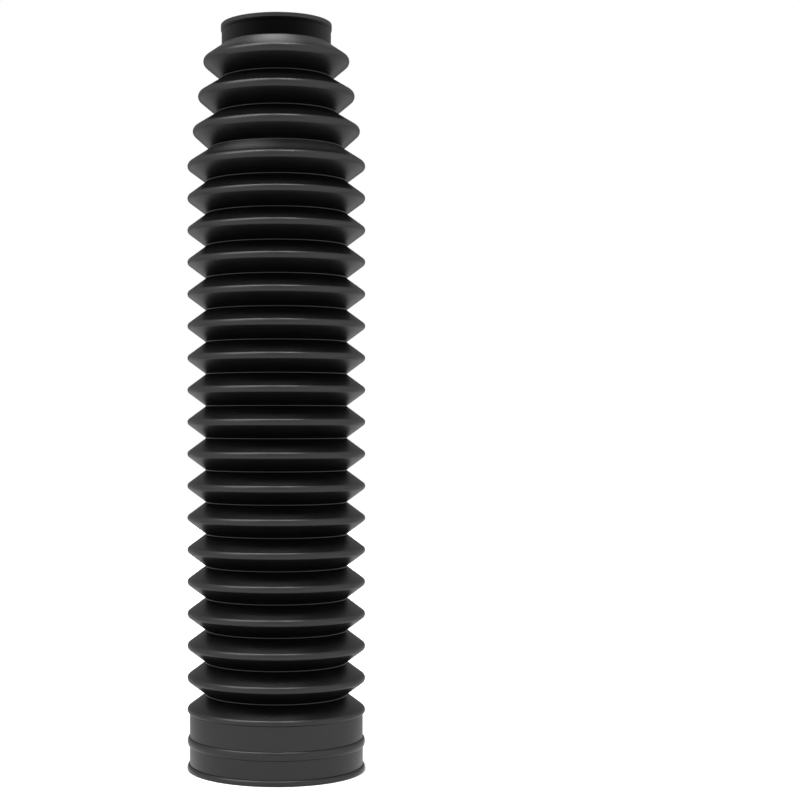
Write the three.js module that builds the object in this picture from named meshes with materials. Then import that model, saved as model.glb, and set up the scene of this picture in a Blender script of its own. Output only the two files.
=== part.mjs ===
// A motorcycle fork gaiter: one rubber moulding, open at both ends, turned about a single axis.
// Its wide lower collar slides over the fork leg, its narrow upper collar grips the stanchion, and the
// folds between them close up and open out as the fork works.
// Millimetres, +Z up. The origin is the centre of the lower rim, on the flat face that it stands on.
import * as THREE from "three";

// The collars, each a plain bore with a rim bead to hold a clamp or a cable tie in place.
const legBore = 60;
const stanchionBore = 36.5;
const collarWall = 2;
const lowerCollarHeight = 21.9; // base to the middle of the shoulder
const upperCollarHeight = 7.8; // foot of the collar to its rim
const shoulderProud = 0.9; // shoulder, crests and lower rim bead beyond the lower collar
const lowerBeadHeight = 2.1;
const lowerBeadLand = 0.35; // upright edge under the bead's curve
const upperBeadHeight = 2.55;
const upperBeadProud = 0.3;
const upperBeadCurve = 0.7; // height of the curve under the upper bead

// The half-round rib round the lower collar.
const ribMiddle = 10.5; // above the base
const ribHeight = 3.3;
const ribProud = 0.8;

// The full-size folds above the shoulder.
const fullFolds = 17;
const foldPitch = 11.8;
const foldDepth = 6.7; // crest to root, along the radius
const foldWall = 1.4;
const crestRounding = 1.55;
const rootRounding = 0.3;

// The folds that narrow to the upper collar.
const taperFolds = 3;
const taperPitch = 12.95;
const taperDepth = 7.42;
const taperRounding = 1.95;
const topFoldDepth = 6.8; // top crest beyond the upper collar
const topFlankRise = 5.95; // middle of the top crest to the foot of the upper collar

// How finely the round stretches are cut.
const facetsRound = 28;
const crestCorners = 4;
const rootCorners = 1;
const innerCrestCorners = 1;
const innerRootCorners = 2;
const beadSteps = 3;
const ribSteps = 4;

const rubber = new THREE.MeshStandardMaterial({ color: 0x1c1c1c, roughness: 0.55, metalness: 0 });

// Radii and heights that follow from the sizes above.
const lowerBoreRadius = legBore / 2;
const upperBoreRadius = stanchionBore / 2;
const lowerCollarRadius = lowerBoreRadius + collarWall;
const upperCollarRadius = upperBoreRadius + collarWall;
const crestRadius = lowerCollarRadius + shoulderProud;
const taperStep = (crestRadius - upperCollarRadius - topFoldDepth) / taperFolds;

// Points along a quarter or half ellipse. Angles are in quarter turns: 0 is outwards, 1 is up.
function ellipseArc(middle, reachOut, reachUp, from, to, steps) {
  return Array.from({ length: steps + 1 }, (_, i) => {
    const angle = ((from + ((to - from) * i) / steps) * Math.PI) / 2;
    return new THREE.Vector2(middle.x + reachOut * Math.cos(angle), middle.y + reachUp * Math.sin(angle));
  });
}

// A round is an arc of the outer outline: its centre, and its radius, which is negative at a root,
// where the arc bulges towards the axis.
const roundAt = (radius, height, rounding) => ({
  centre: new THREE.Vector2(radius - rounding, height),
  rounding,
});

// Every crest from the shoulder up: its radius, height, rounding and depth.
function crests() {
  const list = [];
  let height = lowerCollarHeight;
  for (let i = 0; i <= fullFolds; i += 1) {
    list.push({ radius: crestRadius, height, rounding: crestRounding, depth: foldDepth });
    height += foldPitch;
  }
  height -= foldPitch;
  for (let i = 1; i <= taperFolds; i += 1) {
    height += taperPitch;
    list.push({
      radius: crestRadius - taperStep * i,
      height,
      rounding: taperRounding,
      depth: taperDepth,
    });
  }
  return list;
}

// The crests with a root midway between each two, and the foot of the upper collar at the end.
function rounds() {
  const list = [];
  const all = crests();
  all.forEach((crest, i) => {
    list.push(roundAt(crest.radius, crest.height, crest.rounding));
    const next = all[i + 1];
    const root = next
      ? {
          radius: (crest.radius + next.radius) / 2 - (crest.depth + next.depth) / 2,
          height: (crest.height + next.height) / 2,
        }
      : { radius: upperCollarRadius, height: crest.height + topFlankRise };
    list.push(roundAt(root.radius, root.height, -rootRounding));
  });
  return list;
}

// The angle of the outward normal of the straight flank that touches two rounds, the lower one first.
function flankNormal(lower, upper) {
  const across = new THREE.Vector2().subVectors(upper.centre, lower.centre);
  return across.angle() - Math.acos((lower.rounding - upper.rounding) / across.length());
}

// The corners that stand for a round between its two flanks, on the surface lying `inset` under it.
function cornersOf(round, normalBelow, normalAbove, inset, count) {
  const turn = (normalAbove - normalBelow) / count;
  const reach = (round.rounding - inset) / Math.cos(turn / 2);
  return Array.from({ length: count }, (_, i) => {
    const angle = normalBelow + turn * (i + 0.5);
    return new THREE.Vector2(
      round.centre.x + reach * Math.cos(angle),
      round.centre.y + reach * Math.sin(angle),
    );
  });
}

// The height at which the inside of a flank reaches a given radius.
function flankHeightAt(round, normal, radius) {
  const along = round.rounding - foldWall - (radius - round.centre.x) * Math.cos(normal);
  return round.centre.y + along / Math.sin(normal);
}

// The closed outline of the wall, from the base up the outside and down the inside.
function wallOutline() {
  const list = rounds();
  const last = list.length - 1;
  const flanks = list.slice(0, last).map((round, i) => flankNormal(round, list[i + 1]));
  const below = (i) => (i === 0 ? 0 : flanks[i - 1]);
  const above = (i) => (i === last ? 0 : flanks[i]);
  const isCrest = (i) => i % 2 === 0;
  const shoulder = list[0];
  const foot = list[last].centre.y;
  const top = foot + upperCollarHeight;

  const lowerBead = ellipseArc(
    new THREE.Vector2(lowerCollarRadius, lowerBeadLand),
    shoulderProud,
    lowerBeadHeight - lowerBeadLand,
    0,
    1,
    beadSteps,
  );
  const rib = ellipseArc(
    new THREE.Vector2(lowerCollarRadius, ribMiddle),
    ribProud,
    ribHeight / 2,
    -1,
    1,
    ribSteps,
  );
  const shoulderLip = ellipseArc(
    new THREE.Vector2(lowerCollarRadius, shoulder.centre.y),
    shoulderProud,
    shoulderProud,
    -1,
    0,
    beadSteps,
  );
  const upperBead = ellipseArc(
    new THREE.Vector2(upperCollarRadius, top - upperBeadHeight + upperBeadCurve),
    upperBeadProud,
    upperBeadCurve,
    -1,
    0,
    beadSteps,
  );

  const outside = list.flatMap((round, i) => {
    const half = i === 0 ? crestCorners / 2 : crestCorners;
    return cornersOf(round, below(i), above(i), 0, isCrest(i) ? half : rootCorners);
  });
  const inside = list
    .slice(1, last)
    .flatMap((round, i) =>
      cornersOf(
        round,
        below(i + 1),
        above(i + 1),
        foldWall,
        isCrest(i + 1) ? innerCrestCorners : innerRootCorners,
      ),
    )
    .reverse();

  const base = new THREE.Vector2(lowerBoreRadius, 0);
  return [
    base,
    new THREE.Vector2(crestRadius, 0),
    ...lowerBead,
    ...rib,
    ...shoulderLip,
    ...outside,
    ...upperBead,
    new THREE.Vector2(upperCollarRadius + upperBeadProud, top),
    new THREE.Vector2(upperBoreRadius, top),
    new THREE.Vector2(upperBoreRadius, flankHeightAt(list[last], below(last), upperBoreRadius)),
    ...inside,
    new THREE.Vector2(lowerBoreRadius, flankHeightAt(shoulder, above(0), lowerBoreRadius)),
    base,
  ];
}

const gaiter = new THREE.Mesh(new THREE.LatheGeometry(wallOutline(), facetsRound), rubber);
gaiter.name = "gaiter";
gaiter.rotation.x = Math.PI / 2; // the lathe's axis is +Y

const part = new THREE.Group();
part.add(gaiter);

export default part;
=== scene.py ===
# A motorcycle fork gaiter: one black rubber moulding, open at both ends and turned about one axis.
# Its wide lower collar slides over the fork leg, its narrow upper collar grips the stanchion, and the
# folds between them close up and open out as the fork works. Metres, +Z up, standing on its lower rim.
import math

import bmesh
import bpy
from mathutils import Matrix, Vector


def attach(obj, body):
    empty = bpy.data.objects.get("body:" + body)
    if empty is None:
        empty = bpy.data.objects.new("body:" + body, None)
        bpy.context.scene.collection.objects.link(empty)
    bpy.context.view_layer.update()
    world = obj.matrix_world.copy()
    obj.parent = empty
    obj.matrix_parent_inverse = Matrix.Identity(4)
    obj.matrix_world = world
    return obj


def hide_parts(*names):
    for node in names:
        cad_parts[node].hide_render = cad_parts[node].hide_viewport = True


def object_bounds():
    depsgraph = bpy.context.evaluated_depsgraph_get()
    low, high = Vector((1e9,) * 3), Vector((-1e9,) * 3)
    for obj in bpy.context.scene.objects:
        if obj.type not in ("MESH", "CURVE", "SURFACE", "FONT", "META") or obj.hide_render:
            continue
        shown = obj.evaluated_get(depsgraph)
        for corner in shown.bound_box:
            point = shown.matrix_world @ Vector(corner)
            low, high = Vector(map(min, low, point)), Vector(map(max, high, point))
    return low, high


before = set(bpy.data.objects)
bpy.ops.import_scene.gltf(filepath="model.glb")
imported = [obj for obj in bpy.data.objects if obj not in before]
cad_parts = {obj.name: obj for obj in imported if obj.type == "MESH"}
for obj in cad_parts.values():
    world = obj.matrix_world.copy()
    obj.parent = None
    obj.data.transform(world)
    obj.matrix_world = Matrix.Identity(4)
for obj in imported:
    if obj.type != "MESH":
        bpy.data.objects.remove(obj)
cad_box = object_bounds()

# The folds
# The stack of round folds from the shoulder on the lower collar to the foot of the upper one. It is
# the thin, flexible stretch of the moulding, and every crest and root in it is rounded, because the
# rubber has to come off its mould and must not crack as it flexes.
MM = 0.001
FACES_AROUND = 144
UPPER_COLLAR_RADIUS = 20.25 * MM
CREST_RADIUS = 32.9 * MM
SHOULDER_HEIGHT = 21.9 * MM
fold_sizes = {
    "Full folds": 17,
    "Fold pitch": 11.8 * MM,
    "Fold depth": 6.7 * MM,
    "Crest radius": CREST_RADIUS,
    "Crest rounding": 1.55 * MM,
    "Root rounding": 0.3 * MM,
    "Shoulder height": SHOULDER_HEIGHT,
    "Narrowing folds": 3,
    "Narrowing pitch": 12.95 * MM,
    "Narrowing depth": 7.42 * MM,
    "Narrowing step": 1.95 * MM,
    "Narrowing rounding": 1.95 * MM,
    "Top flank rise": 5.95 * MM,
    "Upper collar radius": UPPER_COLLAR_RADIUS,
    "Wall": 1.4 * MM,
    "Outer steps": 8,
    "Inner steps": 5,
    "Faces around": FACES_AROUND,
}


def add_node(tree, kind, takes=None, **settings):
    """A new node. takes gives its inputs, by name or number, each as a value or as a socket to link."""
    node = tree.nodes.new(kind)
    for name, value in settings.items():
        setattr(node, name, value)
    for name, value in (takes or {}).items():
        if isinstance(value, bpy.types.NodeSocket):
            tree.links.new(value, node.inputs[name])
        else:
            node.inputs[name].default_value = value
    return node


def calculator(tree):
    """A function that adds a Math node to the tree and gives back its result."""

    def calculate(operation, *values):
        return add_node(tree, "ShaderNodeMath", dict(enumerate(values)), operation=operation).outputs[0]

    return calculate


def mix(calculate, share, at_none, at_full):
    """at_none where share is 0, at_full where it is 1, and in step between them."""
    return calculate("MULTIPLY_ADD", share, calculate("SUBTRACT", at_full, at_none), at_none)


def crest(calculate, size, number):
    """The radius, height, depth and roundings of a crest, counted up from the shoulder's."""
    full = calculate("MINIMUM", number, size["Full folds"])
    narrow = calculate("SUBTRACT", number, full)
    is_narrow = calculate("MINIMUM", narrow, 1.0)
    is_narrow_above = calculate("GREATER_THAN", calculate("ADD", number, 0.5), size["Full folds"])
    full_height = calculate("MULTIPLY_ADD", full, size["Fold pitch"], size["Shoulder height"])
    step_in = calculate("MULTIPLY", narrow, size["Narrowing step"])
    return {
        "radius": calculate("SUBTRACT", size["Crest radius"], step_in),
        "height": calculate("MULTIPLY_ADD", narrow, size["Narrowing pitch"], full_height),
        "depth": mix(calculate, is_narrow, size["Fold depth"], size["Narrowing depth"]),
        "below": mix(calculate, is_narrow, size["Crest rounding"], size["Narrowing rounding"]),
        "above": mix(calculate, is_narrow_above, size["Crest rounding"], size["Narrowing rounding"]),
    }


def round_fields(calculate, size, number, last):
    """Each round as fields of its number: radius and height of its outermost or innermost point, and its
    rounding below and above that point, which is negative at a root."""
    lower = calculate("FLOOR", calculate("MULTIPLY", number, 0.5))
    is_root = calculate("SUBTRACT", number, calculate("MULTIPLY", lower, 2.0))
    is_foot = calculate("GREATER_THAN", calculate("ADD", number, 0.5), last)
    under = crest(calculate, size, lower)
    over = crest(calculate, size, calculate("ADD", lower, is_root))
    mean = {name: calculate("MULTIPLY", calculate("ADD", under[name], over[name]), 0.5)
            for name in ("radius", "height", "depth")}
    radius = calculate("SUBTRACT", mean["radius"], calculate("MULTIPLY", is_root, mean["depth"]))
    foot_height = calculate("ADD", under["height"], size["Top flank rise"])
    root_rounding = calculate("MULTIPLY", size["Root rounding"], -1.0)
    return {
        "radius": mix(calculate, is_foot, radius, size["Upper collar radius"]),
        "height": mix(calculate, is_foot, mean["height"], foot_height),
        "below": mix(calculate, is_root, under["below"], root_rounding),
        "above": mix(calculate, is_root, under["above"], root_rounding),
    }


def flank_angle(tree, calculate, rounds, number, last):
    """The angle of the outward normal of the straight flank above each round. The flank touches the
    circles of this round and of the next."""
    next_number = calculate("ADD", number, 1.0)
    following = {name: add_node(tree, "GeometryNodeFieldAtIndex",
                                {"Index": next_number, "Value": field}).outputs[0]
                 for name, field in rounds.items()}
    middle = calculate("SUBTRACT", rounds["radius"], rounds["above"])
    next_middle = calculate("SUBTRACT", following["radius"], following["below"])
    across = calculate("SUBTRACT", next_middle, middle)
    upward = calculate("SUBTRACT", following["height"], rounds["height"])
    apart = calculate("SQRT", calculate("MULTIPLY_ADD", across, across,
                                        calculate("MULTIPLY", upward, upward)))
    shift = calculate("DIVIDE", calculate("SUBTRACT", rounds["above"], following["below"]), apart)
    tangent = calculate("SUBTRACT", calculate("ARCTAN2", upward, across), calculate("ARCCOSINE", shift))
    has_flank = calculate("LESS_THAN", calculate("ADD", number, 0.5), last)
    return calculate("MULTIPLY", tangent, has_flank)


def arc_point(tree, calculate, rounds, here, turned, inset):
    """The radius and height of a point on a round's arc, turned from the flank below to the one above."""

    def read(name, index):
        return add_node(tree, "GeometryNodeSampleIndex", {
            "Geometry": rounds["points"], "Value": rounds[name], "Index": index,
        }).outputs[0]

    angle = mix(calculate, turned, read("flank", calculate("SUBTRACT", here, 1.0)), read("flank", here))
    is_above = calculate("GREATER_THAN", angle, 0.0)
    rounding = mix(calculate, is_above, read("below", here), read("above", here))
    reach = calculate("SUBTRACT", rounding, inset)
    middle = calculate("SUBTRACT", read("radius", here), rounding)
    radius = calculate("MULTIPLY_ADD", reach, calculate("COSINE", angle), middle)
    height = calculate("MULTIPLY_ADD", reach, calculate("SINE", angle), read("height", here))
    return radius, height


def skin(tree, rounds, first, final, steps, inset, faces_around):
    """A tube with a ring of corners for each step of each round from first to final, set back by inset."""
    calculate = calculator(tree)
    count = calculate("ADD", calculate("SUBTRACT", final, first), 1.0)
    segments = calculate("SUBTRACT", calculate("MULTIPLY", count, steps), 1.0)
    tube = add_node(tree, "GeometryNodeMeshCylinder", {
        "Vertices": faces_around, "Side Segments": segments, "Radius": 1.0, "Depth": 1.0,
    }, fill_type="NONE").outputs["Mesh"]
    position = add_node(tree, "GeometryNodeInputPosition").outputs[0]
    place = add_node(tree, "ShaderNodeSeparateXYZ", {0: position}).outputs
    ring = calculate("ROUND", calculate("MULTIPLY", calculate("ADD", place["Z"], 0.5), segments))
    passed = calculate("FLOOR", calculate("DIVIDE", calculate("ADD", ring, 0.5), steps))
    step = calculate("SUBTRACT", ring, calculate("MULTIPLY", passed, steps))
    turned = calculate("DIVIDE", step, calculate("SUBTRACT", steps, 1.0))
    here = calculate("ADD", passed, first)
    radius, height = arc_point(tree, calculate, rounds, here, turned, inset)
    moved = add_node(tree, "ShaderNodeCombineXYZ", {
        "X": calculate("MULTIPLY", place["X"], radius),
        "Y": calculate("MULTIPLY", place["Y"], radius),
        "Z": height,
    }).outputs[0]
    return add_node(tree, "GeometryNodeSetPosition", {"Geometry": tube, "Position": moved}).outputs[0]


def fold_tree():
    """The tree that makes both faces of the folds' wall.

    A round is a crest or a root. Rounds are numbered from the shoulder's crest, 0, up to the foot of the
    upper collar, so crests are even and roots are odd.
    """
    tree = bpy.data.node_groups.new("Gaiter folds", "GeometryNodeTree")
    tree.interface.new_socket("Folds", in_out="OUTPUT", socket_type="NodeSocketGeometry")
    for name, value in fold_sizes.items():
        kind = "NodeSocketInt" if isinstance(value, int) else "NodeSocketFloat"
        tree.interface.new_socket(name, in_out="INPUT", socket_type=kind)
    tree.interface.new_socket("Material", in_out="INPUT", socket_type="NodeSocketMaterial")
    size = add_node(tree, "NodeGroupInput").outputs
    calculate = calculator(tree)

    folds = calculate("ADD", size["Full folds"], size["Narrowing folds"])
    last = calculate("MULTIPLY_ADD", folds, 2.0, 1.0)
    number = add_node(tree, "GeometryNodeInputIndex").outputs[0]
    rounds = round_fields(calculate, size, number, last)
    rounds["flank"] = flank_angle(tree, calculate, rounds, number, last)
    count = calculate("ADD", last, 1.0)
    rounds["points"] = add_node(tree, "GeometryNodePoints", {"Count": count}).outputs[0]

    around = size["Faces around"]
    outside = skin(tree, rounds, 0.0, last, size["Outer steps"], 0.0, around)
    last_inside = calculate("SUBTRACT", last, 1.0)
    inside = skin(tree, rounds, 1.0, last_inside, size["Inner steps"], size["Wall"], around)
    inside = add_node(tree, "GeometryNodeFlipFaces", {"Mesh": inside}).outputs[0]
    joined = add_node(tree, "GeometryNodeJoinGeometry", {"Geometry": outside})
    tree.links.new(inside, joined.inputs["Geometry"])
    real = add_node(tree, "GeometryNodeRealizeInstances", {"Geometry": joined.outputs[0]}).outputs[0]
    dressed = add_node(tree, "GeometryNodeSetMaterial", {"Geometry": real, "Material": size["Material"]})
    add_node(tree, "NodeGroupOutput", {"Folds": dressed.outputs[0]})
    return tree


def folds_mesh(material):
    """The folds' wall as a plain mesh, open at both ends."""
    holder = bpy.data.objects.new("folds", bpy.data.meshes.new("folds"))
    bpy.context.scene.collection.objects.link(holder)
    modifier = holder.modifiers.new("Folds", "NODES")
    modifier.node_group = fold_tree()
    inputs = dict(fold_sizes, Material=material)
    for item in modifier.node_group.interface.items_tree:
        if item.in_out == "INPUT":
            modifier[item.identifier] = inputs[item.name]
    shown = holder.evaluated_get(bpy.context.evaluated_depsgraph_get())
    mesh = bpy.data.meshes.new_from_object(shown)
    holder.modifiers.remove(modifier)
    bpy.data.objects.remove(holder)
    return mesh


def crest_height(number):
    """The height of a crest, counted up from the shoulder's."""
    full = min(number, fold_sizes["Full folds"])
    narrow = number - full
    return SHOULDER_HEIGHT + full * fold_sizes["Fold pitch"] + narrow * fold_sizes["Narrowing pitch"]


# The rubber's skin keeps the fine grain of its mould, and its gloss wanders a little from place to
# place. A painted highlight, a light grey laid into the colour, lies on two flanks: it is strongest near
# the front and fades to the sides and downwards.
GRAIN_SIZE = 0.35 * MM
GRAIN_DEPTH = 0.02 * MM
GRAIN_STRENGTH = 0.5
GRAIN_DETAIL = 3.0
MOTTLE_SIZE = 9.0 * MM
MOTTLE_DETAIL = 2.0
RUBBER_DARK = (0.0008, 0.0008, 0.0008, 1.0)
RUBBER_LIGHT = (0.0016, 0.0016, 0.0016, 1.0)
SATIN_SMOOTH = 0.30
SATIN_ROUGH = 0.36
RUBBER_IOR = 1.5
# Painted highlight: the light grey mixed into the rubber's colour on two flanks, standing in for the glint
# of the lamps.
PAINTED_HIGHLIGHT = (0.2, 0.2, 0.2, 1.0)
PAINTED_HIGHLIGHT_SPREAD = math.radians(30.0)
PAINTED_HIGHLIGHT_FADE = 4.0 * MM
PAINTED_HIGHLIGHT_EDGE = 0.4 * MM
FULL_TOP = crest_height(fold_sizes["Full folds"])
NARROW_TOP = crest_height(fold_sizes["Full folds"] + fold_sizes["Narrowing folds"])
COLLAR_FOOT = NARROW_TOP + fold_sizes["Top flank rise"]
# Where the painted highlights lie: on the top flank under the upper collar, and on the flank above the
# highest full crest.
painted_highlights = (
    {"low": NARROW_TOP + 0.6 * MM, "high": COLLAR_FOOT, "middle": math.radians(-3.0),
     "at_sides": 0.24, "at_middle": 0.95},
    {"low": FULL_TOP + 0.8 * MM, "high": FULL_TOP + 6.6 * MM, "middle": math.radians(-22.0),
     "at_sides": 0.14, "at_middle": 0.45},
)


def fade(tree, value, start, end, at_start, at_end):
    """A soft change from at_start to at_end as the value goes from start to end."""
    return add_node(tree, "ShaderNodeMapRange", {
        "Value": value, "From Min": start, "From Max": end, "To Min": at_start, "To Max": at_end,
    }, interpolation_type="SMOOTHSTEP").outputs["Result"]


def mould_skin_group():
    """A shader group for the skin that a mould leaves on rubber: a fine grain and a faint mottle."""
    group = bpy.data.node_groups.new("Mould skin", "ShaderNodeTree")
    for name in ("Grain size", "Mottle size"):
        group.interface.new_socket(name, in_out="INPUT", socket_type="NodeSocketFloat")
    for name in ("Grain", "Mottle"):
        group.interface.new_socket(name, in_out="OUTPUT", socket_type="NodeSocketFloat")
    size = add_node(group, "NodeGroupInput").outputs
    place = add_node(group, "ShaderNodeTexCoord").outputs["Object"]
    calculate = calculator(group)

    def noise(feature_size, detail):
        return add_node(group, "ShaderNodeTexNoise", {
            "Vector": place, "Scale": calculate("DIVIDE", 1.0, feature_size), "Detail": detail,
        }).outputs["Fac"]

    add_node(group, "NodeGroupOutput", {
        "Grain": noise(size["Grain size"], GRAIN_DETAIL),
        "Mottle": noise(size["Mottle size"], MOTTLE_DETAIL),
    })
    return group


def painted_highlight_share(tree, highlight_patches):
    """How strongly the painted highlight lies, from 0 to 1. Each painted highlight is strongest at its
    middle azimuth and fades out to both sides and downwards. Azimuths are from the front, towards +X."""
    calculate = calculator(tree)
    position = add_node(tree, "ShaderNodeTexCoord").outputs["Object"]
    place = add_node(tree, "ShaderNodeSeparateXYZ", {0: position}).outputs
    azimuth = calculate("ARCTAN2", place["X"], calculate("MULTIPLY", place["Y"], -1.0))
    brightened = 0.0
    for patch in highlight_patches:
        away = calculate("ABSOLUTE", calculate("SUBTRACT", azimuth, patch["middle"]))
        around = fade(tree, away, 0.0, PAINTED_HIGHLIGHT_SPREAD, patch["at_middle"], patch["at_sides"])
        above_low = fade(tree, place["Z"], patch["low"], patch["low"] + PAINTED_HIGHLIGHT_FADE, 0.0, 1.0)
        below_high = fade(tree, place["Z"], patch["high"] - PAINTED_HIGHLIGHT_EDGE, patch["high"], 1.0, 0.0)
        on_flank = calculate("MULTIPLY", above_low, below_high)
        brightened = calculate("MULTIPLY_ADD", around, on_flank, brightened)
    return brightened


def rubber_material(name, highlight_patches=(), shine=1.0):
    """Black rubber with the mould's skin, lightened towards grey where painted highlights are given. shine
    is the share of clean rubber's reflection that it has.
    """
    material = bpy.data.materials.new(name)
    material.use_nodes = True
    tree = material.node_tree
    tree.nodes.clear()
    skin_of_mould = add_node(tree, "ShaderNodeGroup", node_tree=mould_skin)
    skin_of_mould.inputs["Grain size"].default_value = GRAIN_SIZE
    skin_of_mould.inputs["Mottle size"].default_value = MOTTLE_SIZE
    mottle = skin_of_mould.outputs["Mottle"]
    colour = add_node(tree, "ShaderNodeMix", {
        "Factor": mottle, "A": RUBBER_DARK, "B": RUBBER_LIGHT,
    }, data_type="RGBA").outputs["Result"]
    if highlight_patches:
        # Painted highlight: the colour is lightened towards grey on the flanks given.
        colour = add_node(tree, "ShaderNodeMix", {
            "Factor": painted_highlight_share(tree, highlight_patches), "A": colour, "B": PAINTED_HIGHLIGHT,
        }, data_type="RGBA").outputs["Result"]
    roughness = add_node(tree, "ShaderNodeMapRange", {
        "Value": mottle, "To Min": SATIN_SMOOTH, "To Max": SATIN_ROUGH,
    }).outputs["Result"]
    bump = add_node(tree, "ShaderNodeBump", {
        "Height": skin_of_mould.outputs["Grain"], "Strength": GRAIN_STRENGTH, "Distance": GRAIN_DEPTH,
    })
    shader = add_node(tree, "ShaderNodeBsdfPrincipled", {
        "Base Color": colour,
        "Roughness": roughness,
        "IOR": RUBBER_IOR,
        "Specular Tint": (shine, shine, shine, 1.0),
        "Normal": bump.outputs["Normal"],
    })
    add_node(tree, "ShaderNodeOutputMaterial", {"Surface": shader.outputs["BSDF"]})
    return material


mould_skin = mould_skin_group()
rubber = rubber_material("moulded rubber", highlight_patches=painted_highlights)
mesh = folds_mesh(rubber)

# The collars
# The two plain sleeves at the ends, moulded in one with the folds in a thicker wall that keeps them
# round. A bead at each rim, a rib and the shoulder keep a band clamp or a cable tie in its place. The
# upper collar reflects only a small share of the light from its foot up to the satin band under its rim,
# so it looks dark there.
COLLAR_WALL = 2.0 * MM
EDGE_ROUNDING = 0.25 * MM
SHOULDER_PROUD = 0.9 * MM
LOWER_COLLAR_RADIUS = CREST_RADIUS - SHOULDER_PROUD
LOWER_BORE_DEPTH = 23.09 * MM
LOWER_BEAD_HEIGHT = 2.1 * MM
LOWER_BEAD_LAND = 0.35 * MM
RIB_MIDDLE = 10.5 * MM
RIB_HEIGHT = 3.3 * MM
RIB_PROUD = 0.8 * MM
RIM_HEIGHT = cad_box[1][2]
UPPER_BORE_LENGTH = 8.26 * MM
UPPER_BEAD_HEIGHT = 2.55 * MM
UPPER_BEAD_PROUD = 0.3 * MM
UPPER_BEAD_CURVE = 0.7 * MM
SATIN_BAND = 1.5 * MM
# The share of the rubber's reflection kept on the upper collar from its foot to the satin band, which
# makes that land dark.
DIM_LAND_SHINE = 0.045
BEAD_STEPS = 6
RIB_STEPS = 14
EDGE_STEPS = 3
WELD = 0.001 * MM
SHARPEST_SMOOTH = math.radians(35.0)


def ellipse_arc(middle, reach_out, reach_up, start, end, steps):
    """Points of an ellipse's arc. Start and end are in quarter turns: 0 is outwards and 1 is up."""
    quarter = math.radians(90.0)
    angles = [quarter * (start + (end - start) * step / steps) for step in range(steps + 1)]
    return [(middle[0] + reach_out * math.cos(angle), middle[1] + reach_up * math.sin(angle))
            for angle in angles]


def rounded_edge(radius, height, start, end):
    """The small rounding on a rim's edge. Radius and height are of the sharp corner."""
    outwards = 1 if abs(start + end) < 2 else -1
    upwards = 1 if start + end > 0 else -1
    middle = (radius - outwards * EDGE_ROUNDING, height - upwards * EDGE_ROUNDING)
    return ellipse_arc(middle, EDGE_ROUNDING, EDGE_ROUNDING, start, end, EDGE_STEPS)


def turn(shape, outline):
    """Adds the surface that an outline of (radius, height) points makes as it turns about the axis."""
    angles = [math.tau * step / FACES_AROUND for step in range(FACES_AROUND)]
    rings = [[shape.verts.new((radius * math.cos(angle), radius * math.sin(angle), height))
              for angle in angles] for radius, height in outline]
    for ring, next_ring in zip(rings, rings[1:]):
        for step in range(FACES_AROUND):
            following = (step + 1) % FACES_AROUND
            shape.faces.new((ring[step], ring[following], next_ring[following], next_ring[step]))


def lower_collar():
    """From the top of the bore down to the rim and up the outside to the shoulder's crest."""
    bore_radius = LOWER_COLLAR_RADIUS - COLLAR_WALL
    bead = ellipse_arc((LOWER_COLLAR_RADIUS, LOWER_BEAD_LAND), SHOULDER_PROUD,
                       LOWER_BEAD_HEIGHT - LOWER_BEAD_LAND, 0, 1, BEAD_STEPS)
    rib = ellipse_arc((LOWER_COLLAR_RADIUS, RIB_MIDDLE), RIB_PROUD, RIB_HEIGHT / 2, -1, 1, RIB_STEPS)
    lip = ellipse_arc((LOWER_COLLAR_RADIUS, SHOULDER_HEIGHT), SHOULDER_PROUD, SHOULDER_PROUD,
                      -1, 0, BEAD_STEPS)
    inner_edge = rounded_edge(bore_radius, 0.0, -2, -1)
    outer_edge = rounded_edge(CREST_RADIUS, 0.0, -1, 0)
    return [(bore_radius, LOWER_BORE_DEPTH), *inner_edge, *outer_edge, *bead, *rib, *lip]


def upper_collar():
    """From the foot of the collar up the outside to the rim and down the bore."""
    rim_radius = UPPER_COLLAR_RADIUS + UPPER_BEAD_PROUD
    bore_radius = UPPER_COLLAR_RADIUS - COLLAR_WALL
    bead_middle = (UPPER_COLLAR_RADIUS, RIM_HEIGHT - UPPER_BEAD_HEIGHT + UPPER_BEAD_CURVE)
    bead = ellipse_arc(bead_middle, UPPER_BEAD_PROUD, UPPER_BEAD_CURVE, -1, 0, BEAD_STEPS)
    dim_land_top = (rim_radius, RIM_HEIGHT - SATIN_BAND)
    outer_edge = rounded_edge(rim_radius, RIM_HEIGHT, 0, 1)
    inner_edge = rounded_edge(bore_radius, RIM_HEIGHT, 1, 2)
    bore_end = (bore_radius, RIM_HEIGHT - UPPER_BORE_LENGTH)
    return [(UPPER_COLLAR_RADIUS, COLLAR_FOOT), *bead, dim_land_top, *outer_edge, *inner_edge, bore_end]


def open_rings(shape):
    """The edges of each open ring, the lowest ring first."""
    rings = {}
    for edge in shape.edges:
        if edge.is_boundary:
            height = round(edge.verts[0].co.z / WELD)
            rings.setdefault(height, []).append(edge)
    return [rings[height] for height in sorted(rings)]


def is_dim_land(face):
    """Whether a face is on the outside of the upper collar, from its foot to the satin band."""
    return all(COLLAR_FOOT - WELD < vertex.co.z < RIM_HEIGHT - SATIN_BAND + WELD
               and math.hypot(vertex.co.x, vertex.co.y) > UPPER_COLLAR_RADIUS - WELD
               for vertex in face.verts)


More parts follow.
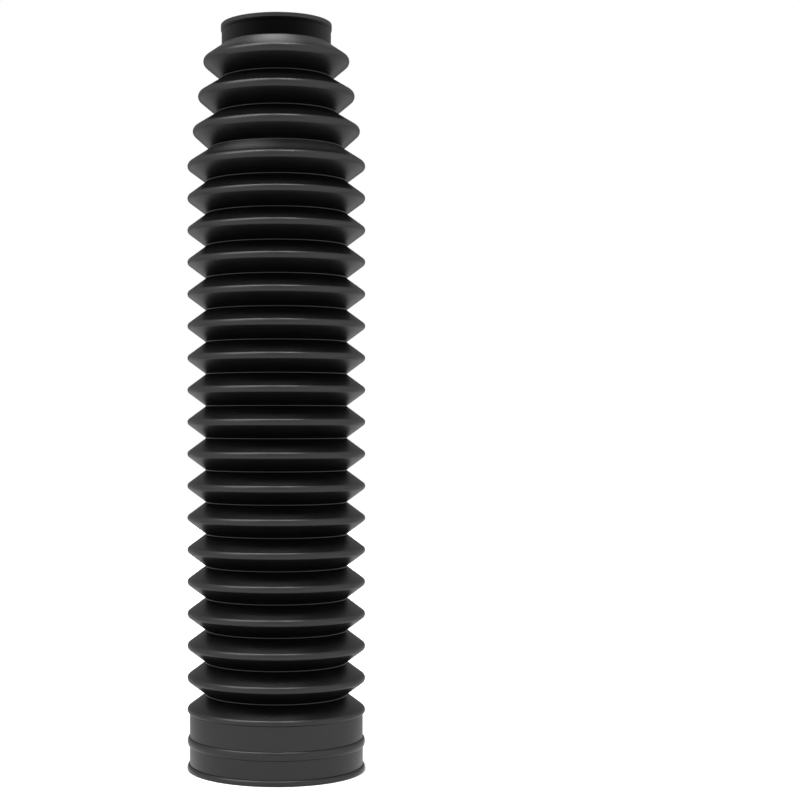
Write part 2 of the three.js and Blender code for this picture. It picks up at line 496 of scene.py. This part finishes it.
def close_wall(mesh):
    """Welds the collars to the folds and joins each bore to the inside of its nearest fold."""
    shape = bmesh.new()
    shape.from_mesh(mesh)
    turn(shape, lower_collar())
    turn(shape, upper_collar())
    bmesh.ops.remove_doubles(shape, verts=shape.verts[:], dist=WELD)
    lower_bore, lowest_fold, highest_fold, upper_bore = open_rings(shape)
    bmesh.ops.bridge_loops(shape, edges=lower_bore + lowest_fold)
    bmesh.ops.bridge_loops(shape, edges=highest_fold + upper_bore)
    bmesh.ops.recalc_face_normals(shape, faces=shape.faces[:])
    for face in shape.faces:
        face.material_index = int(is_dim_land(face))
    shape.to_mesh(mesh)
    shape.free()


mesh.materials.clear()
mesh.materials.append(rubber)
# The upper collar's land, from its foot to the satin band, reflects only a small share of the light.
mesh.materials.append(rubber_material("dim-reflecting rubber", shine=DIM_LAND_SHINE))
close_wall(mesh)
mesh.shade_smooth()
mesh.set_sharp_from_angle(angle=SHARPEST_SMOOTH)
piece = bpy.data.objects.new("gaiter_moulding", mesh)
bpy.context.scene.collection.objects.link(piece)
weighting = piece.modifiers.new("Even shading", "WEIGHTED_NORMAL")
weighting.keep_sharp = True
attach(piece, "root")
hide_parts("gaiter")

# The floor
# A plain pale sheet that the gaiter stands on, lit a little from below so that shadows stay faint. The
# gaiter reflects it brighter in front than behind, as if lamps stood over its front half.
FLOOR_HALF = 1.5
FLOOR_COLOUR = (0.9, 0.9, 0.9, 1.0)
FLOOR_LIT_BELOW = 0.33
FLOOR_FRONT_LIGHT = 1.25
FLOOR_BACK_LIGHT = 0.62
FLOOR_FADE = (-0.1, 0.09)


def floor_material():
    """A pale sheet to the camera, and a glow from the front half to all else."""
    material = bpy.data.materials.new("pale floor")
    material.use_nodes = True
    tree = material.node_tree
    tree.nodes.clear()
    position = add_node(tree, "ShaderNodeTexCoord").outputs["Object"]
    place = add_node(tree, "ShaderNodeSeparateXYZ", {0: position}).outputs
    glow = fade(tree, place["Y"], *FLOOR_FADE, FLOOR_FRONT_LIGHT, FLOOR_BACK_LIGHT)
    reflected = add_node(tree, "ShaderNodeEmission", {"Strength": glow}).outputs[0]
    paper = add_node(tree, "ShaderNodeBsdfDiffuse", {"Color": FLOOR_COLOUR}).outputs[0]
    lit_below = add_node(tree, "ShaderNodeEmission", {"Strength": FLOOR_LIT_BELOW}).outputs[0]
    sheet = add_node(tree, "ShaderNodeAddShader", {0: paper, 1: lit_below}).outputs[0]
    seen = add_node(tree, "ShaderNodeLightPath").outputs["Is Camera Ray"]
    shader = add_node(tree, "ShaderNodeMixShader", {0: seen, 1: reflected, 2: sheet})
    add_node(tree, "ShaderNodeOutputMaterial", {"Surface": shader.outputs[0]})
    return material


floor_mesh = bpy.data.meshes.new("floor")
corners = ((-1, -1), (1, -1), (1, 1), (-1, 1))
floor_mesh.from_pydata([(x * FLOOR_HALF, y * FLOOR_HALF, 0) for x, y in corners], [], [(0, 1, 2, 3)])
floor_mesh.materials.append(floor_material())
floor = bpy.data.objects.new("floor", floor_mesh)
bpy.context.scene.collection.objects.link(floor)

# The light
# A pale room that is dim behind the gaiter and bright at its sides, with soft round lamps: a broad one
# to the front left, two small ones high over the front and one high at the back. Angles are in degrees,
# and azimuths are from the front, towards +X.
ROOM_FRONT_LIGHT = 0.92
ROOM_BACK_LIGHT = 0.11
ROOM_FADE = (-0.6, 0.8)
ROOM_SIDE_LIGHT = 0.48
ROOM_CEILING_DIMMING = 0.1
lamps = (
    {"azimuth": -69.0, "elevation": 52.0, "radius": 16.5, "light": 3.8},
    {"azimuth": -46.0, "elevation": 71.0, "radius": 7.0, "light": 13.5},
    {"azimuth": 32.0, "elevation": 71.0, "radius": 8.0, "light": 13.5},
    {"azimuth": 180.0, "elevation": 72.0, "radius": 8.0, "light": 5.0},
)

# A lamp shines fully in the inner share of its radius and fades out to the outer share.
LAMP_INNER = 0.5
LAMP_OUTER = 1.5


def lamp_light(tree, direction, lamp):
    """What one lamp adds to the room's light in each direction."""
    azimuth = math.radians(lamp["azimuth"])
    elevation = math.radians(lamp["elevation"])
    radius = math.radians(lamp["radius"])
    middle = (math.sin(azimuth) * math.cos(elevation), -math.cos(azimuth) * math.cos(elevation),
              math.sin(elevation))
    toward = add_node(tree, "ShaderNodeVectorMath", {0: direction, 1: middle}, operation="DOT_PRODUCT")
    away = calculator(tree)("ARCCOSINE", toward.outputs["Value"])
    return fade(tree, away, LAMP_INNER * radius, LAMP_OUTER * radius, lamp["light"], 0.0)


def studio():
    """The room and its lamps. The camera sees the room as plain white."""
    world = bpy.data.worlds.new("studio")
    world.use_nodes = True
    tree = world.node_tree
    tree.nodes.clear()
    calculate = calculator(tree)
    direction = add_node(tree, "ShaderNodeTexCoord").outputs["Generated"]
    toward = add_node(tree, "ShaderNodeSeparateXYZ", {0: direction}).outputs
    light = fade(tree, toward["Y"], *ROOM_FADE, ROOM_FRONT_LIGHT, ROOM_BACK_LIGHT)
    sideways = calculate("ABSOLUTE", toward["X"])
    light = calculate("MULTIPLY_ADD", sideways, ROOM_SIDE_LIGHT, light)
    light = calculate("MULTIPLY_ADD", toward["Z"], -ROOM_CEILING_DIMMING, light)
    for lamp in lamps:
        light = calculate("ADD", light, lamp_light(tree, direction, lamp))
    seen = add_node(tree, "ShaderNodeLightPath").outputs["Is Camera Ray"]
    strength = mix(calculate, seen, light, 1.0)
    background = add_node(tree, "ShaderNodeBackground", {"Strength": strength})
    background.inputs["Color"].default_value = (1.0, 1.0, 1.0, 1.0)
    add_node(tree, "ShaderNodeOutputWorld", {"Surface": background.outputs[0]})
    return world


bpy.context.scene.world = studio()

# Light that the rubber throws on itself isn't followed, so the folds stay as black as in the photo.
bpy.context.scene.cycles.max_bounces = 0

# The camera
# Level, and as high as the photograph's, with the gaiter left of the middle.
CAMERA_DISTANCE = 0.611
CAMERA_HEIGHT = 0.1291
FOCAL_LENGTH = 74.204
SENSOR_WIDTH = 36.0
SHIFT_X = 0.1546
SHIFT_Y = 0.0241

camera_data = bpy.data.cameras.new("camera")
camera_data.lens = FOCAL_LENGTH
camera_data.sensor_width = SENSOR_WIDTH
camera_data.shift_x = SHIFT_X
camera_data.shift_y = SHIFT_Y
camera = bpy.data.objects.new("camera", camera_data)
camera.location = (0.0, -CAMERA_DISTANCE, CAMERA_HEIGHT)
camera.rotation_euler = (math.radians(90.0), 0.0, 0.0)
bpy.context.scene.collection.objects.link(camera)
bpy.context.scene.camera = camera
bpy.context.scene.view_settings.view_transform = "Standard"
